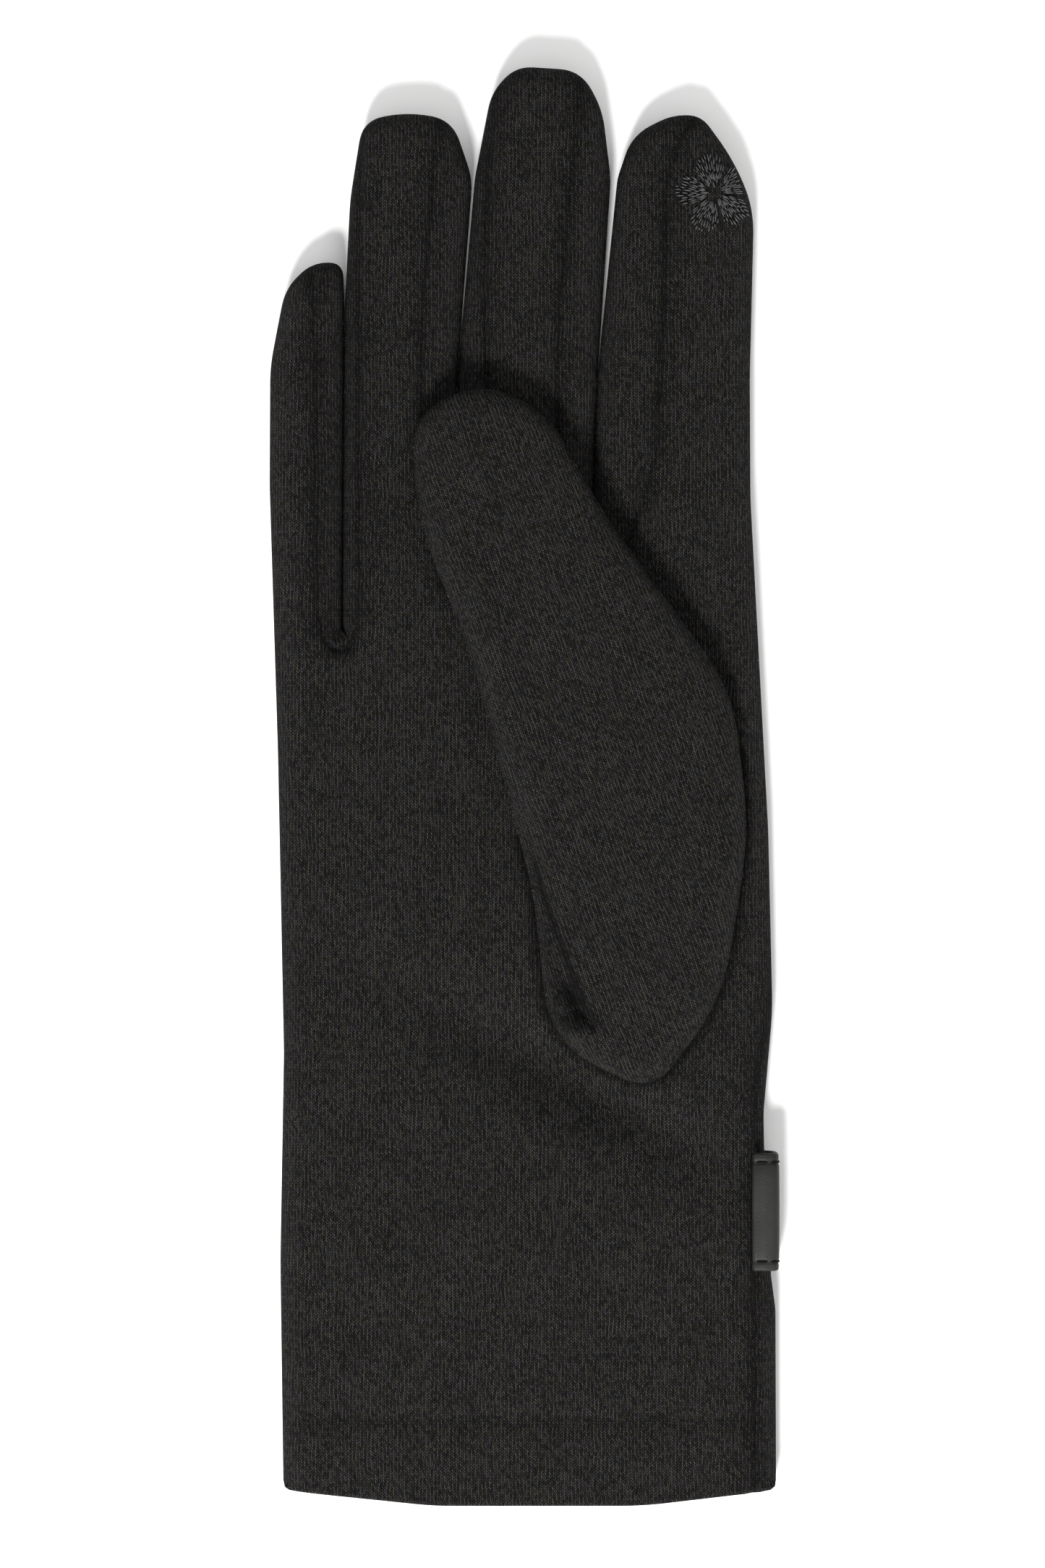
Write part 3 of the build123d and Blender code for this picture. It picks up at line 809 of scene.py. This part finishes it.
def make_thumb():
    """The thumb's sleeve: its base is attached to the hand, and the rest, past the hinge, has its transform
    baked into its points.
    """
    leaf = rounded(THUMB_OUTLINE, closed=True)
    turn = math.radians(THUMB_TURN)
    across = np.array([math.cos(turn), math.sin(turn)])
    hinge = np.array(THUMB_HINGE)
    cut = resample([hinge - across * 40, hinge + across * 40], 0.8)
    p, faces = plan_mesh(leaf, [rounded(LAP_EDGE, closed=False)], [cut])
    faces = counterclockwise(p, faces)
    distance, direction = nearest(p, leaf)
    top, bottom, painted_shade = thumb_heights(p, distance)
    uv = unrolled(p, distance, direction, THUMB_ROUND, 4.0)
    sheet = two_sided(p, faces, distance < ON_OUTLINE, top, bottom, uv, painted_shade, np.zeros(len(p)))
    past = past_hinge(sheet["middle"]) > 0
    base = cut_piece(sheet, np.concatenate([~past, ~past]), "thumb_base_cloth", thumb_jersey)
    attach(base, "hand")
    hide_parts("thumb_base")
    sleeve = cut_piece(sheet, np.concatenate([past, past]), "thumb_sleeve_cloth", thumb_jersey)
    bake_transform(sleeve)
    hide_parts("thumb_sleeve")


make_thumb()


# ---------------------------------------------------------------- the strap
def strap_path():
    """Line of the strap's outer face in x and z, from the side seam over the edge and along the back."""
    top, low = HAND_TOP + STRAP_LIFT, 0.02
    corners = [(SEAM_X - 0.3, top - 0.5, 1), (SEAM_X + 1.6, top, 2), (STRAP_OUT, top - 0.4, STRAP_BEND),
               (STRAP_OUT, low, STRAP_BEND), (STRAP_TIP_X, low, 1)]
    return rounded(corners, closed=False, step=0.5)


def strap_section(half):
    """The strap's section as (place across, height): folded edges, a low crown and two grooves."""
    groove = -half + STRAP_GROOVE
    across = [(-half + STRAP_EDGE * (1 - math.cos(a)), -STRAP_EDGE * (1 - math.sin(a)))
              for a in np.linspace(0, np.pi / 2, 5)]
    across += [(-half + 0.9, 0.03), (groove - 0.35, 0.0), (groove, -0.3), (groove + 0.35, 0.0)]
    across += [(-half * f, 0.14 * (1 - f * f) ** 0.5 + 0.02) for f in (0.78, 0.6, 0.4, 0.2, 0.0)]
    across += [(-a, z) for a, z in across[-2::-1]]
    under = [(a, -STRAP_THICK + 0.15) for a in np.linspace(half, -half, 9)]
    return np.array(across + under)


def make_strap():
    """The leather strap, and the two rows of stitches along it."""
    path = strap_path()
    normal = left_normals(path)
    low, high = STRAP_Y
    half = (high - low) / 2
    middle = (high + low) / 2
    loop = strap_section(half)
    runs = np.concatenate([[0], np.cumsum(np.linalg.norm(np.diff(path, axis=0), axis=1))])
    points = []
    for k, (place, out) in enumerate(zip(path, normal)):
        from_tip = runs[-1] - runs[k]
        narrow = math.sqrt(max(1 - max(0, 1 - from_tip / STRAP_END) ** 2, 0.0004))
        for a, z in loop:
            points.append((place[0] + out[0] * z, middle + a * narrow, place[1] + out[1] * z))
    faces = grid_faces(len(path), len(loop)) + end_caps(len(path), len(loop))
    piece = make_mesh("strap_leather", points, faces, leather)
    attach(piece, "hand")
    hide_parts("strap")

    paths = []
    for side in (-1, 1):
        y = middle + side * (half - STRAP_GROOVE)
        for start in np.arange(0.6, runs[-1] - STRAP_END, 2.5):
            t = np.linspace(start, start + 2.0, 6)
            x, z = np.interp(t, runs, path[:, 0]), np.interp(t, runs, path[:, 1])
            nx, nz = np.interp(t, runs, normal[:, 0]), np.interp(t, runs, normal[:, 1])
            lift = -0.05 + 0.08 * np.sin(np.linspace(0, np.pi, 6))
            paths.append(np.column_stack([x + nx * lift, np.full(6, y), z + nz * lift]))
    stitches = threads("strap_stitches", paths, 0.2, black_thread)
    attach(stitches, "hand")
    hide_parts("strap_stitching")


make_strap()


# ---------------------------------------------------------------- stitches and embroidery
def make_hem_stitches():
    """The row of stitches that holds the hem, sunk in the cloth on the palm side."""
    pitch, length = 3.0, 2.1
    paths = []
    for x in np.arange(CUFF_LEFT + 3, SEAM_X - 3, pitch):
        line = np.column_stack([np.linspace(x, x + length, 5), np.full(5, HEM_STITCH_Y)])
        dip = 0.12 * np.sin(np.linspace(0, np.pi, 5))
        paths.append(np.column_stack([line, palm_surface(line) - 0.1 + dip]))
    piece = threads("hem_stitches", paths, 0.16, black_thread)
    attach(piece, "hand")
    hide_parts("hem_stitching")


make_hem_stitches()


def petal_threads(draw):
    """Satin stitches of one petal, as (radius, angle, lift), fanned out from the flower's middle."""
    count, half_spread = 13, 31.0
    middle, round_end = 4.45, 2.4    # the petal's rounded end: how far out its centre is, and its radius
    paths = []
    for k in range(count):
        angle = math.radians(half_spread * (2 * (k + 0.5) / count - 1))
        rim = middle * math.cos(angle) + math.sqrt(round_end ** 2 - (middle * math.sin(angle)) ** 2)
        at = draw.uniform(0.9, 2.6)
        while at < rim - 0.5:
            end = min(at + draw.uniform(1.0, 1.7), rim + draw.uniform(-0.1, 0.15))
            lean = angle + draw.uniform(-0.03, 0.03)
            lift = draw.uniform(0.1, 0.22) + 0.16 * np.sin(np.linspace(0.2, np.pi - 0.2, 5))
            paths.append((np.linspace(at, end, 5), np.linspace(lean, angle, 5), lift))
            at = end + 0.22
    return paths


def make_flower():
    """Petals of conductive thread on the index fingertip, in satin stitch."""
    draw = np.random.default_rng(8)
    paths = []
    for petal in range(5):
        turn = math.radians(PETAL_TURN + 72 * petal)
        for radius, angle, lift in petal_threads(draw):
            line = np.column_stack([radius * np.cos(turn + angle), radius * np.sin(turn + angle)])
            line += FLOWER_CENTRE
            keep = inside(line, outline) & (nearest(line, folds)[0] > 0.15)
            line, lift = line[keep], lift[keep]
            if len(line) > 3:
                paths.append(np.column_stack([line, palm_surface(line) + lift]))
    piece = threads("touch_flower_threads", paths, 0.105, touch_thread)
    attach(piece, "index_finger")
    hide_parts("touch_flower")


make_flower()


# ---------------------------------------------------------------- floor, light and camera
def make_stage():
    """A pale floor, a hair below the glove."""
    mesh = bpy.data.meshes.new("floor")
    size = 3.0
    corners = [(-size, -size, 0), (size, -size, 0), (size, size, 0), (-size, size, 0)]
    mesh.from_pydata(corners, [], [(0, 1, 2, 3)])
    floor = bpy.data.objects.new("floor", mesh)
    bpy.context.scene.collection.objects.link(floor)
    floor.location.z = -0.00005
    material, tree, shader = new_material("pale_floor", 0.9)
    shader.inputs["Base Color"].default_value = (0.93, 0.93, 0.925, 1)
    shader.inputs["Specular IOR Level"].default_value = 0.0
    mesh.materials.append(material)


def area_light(name, place, size, power):
    """A round white lamp that faces the glove."""
    data = bpy.data.lights.new(name, "AREA")
    data.shape = "DISK"
    data.size = size
    data.energy = power
    lamp = bpy.data.objects.new(name, data)
    lamp.location = place
    lamp.rotation_euler = (-lamp.location).to_track_quat("-Z", "Y").to_euler()
    bpy.context.scene.collection.objects.link(lamp)


def make_light():
    """White light from all round, a small lamp beyond the cuff and a broad, weak one above the fingers."""
    area_light("key", place=(-0.20, -0.88, 0.86), size=0.32, power=27.0)
    area_light("fill", place=(0.4, 0.5, 1.4), size=1.6, power=6.0)
    world = bpy.data.worlds.new("studio")
    world.use_nodes = True
    background = world.node_tree.nodes["Background"]
    background.inputs["Color"].default_value = (1, 1, 1, 1)
    background.inputs["Strength"].default_value = 0.66
    bpy.context.scene.world = world
    bpy.context.scene.view_settings.view_transform = "Standard"


def make_camera():
    """A camera straight above the palm, with a long lens."""
    frame_height = 0.2628        # what the picture spans from top to bottom, in metres
    data = bpy.data.cameras.new("camera")
    data.lens = 150
    distance = frame_height * data.lens / data.sensor_width
    camera = bpy.data.objects.new("camera", data)
    camera.location = (0, 0, distance + MIDDLE_HEIGHT * MM)
    bpy.context.scene.collection.objects.link(camera)
    bpy.context.scene.camera = camera


make_stage()
make_light()
make_camera()
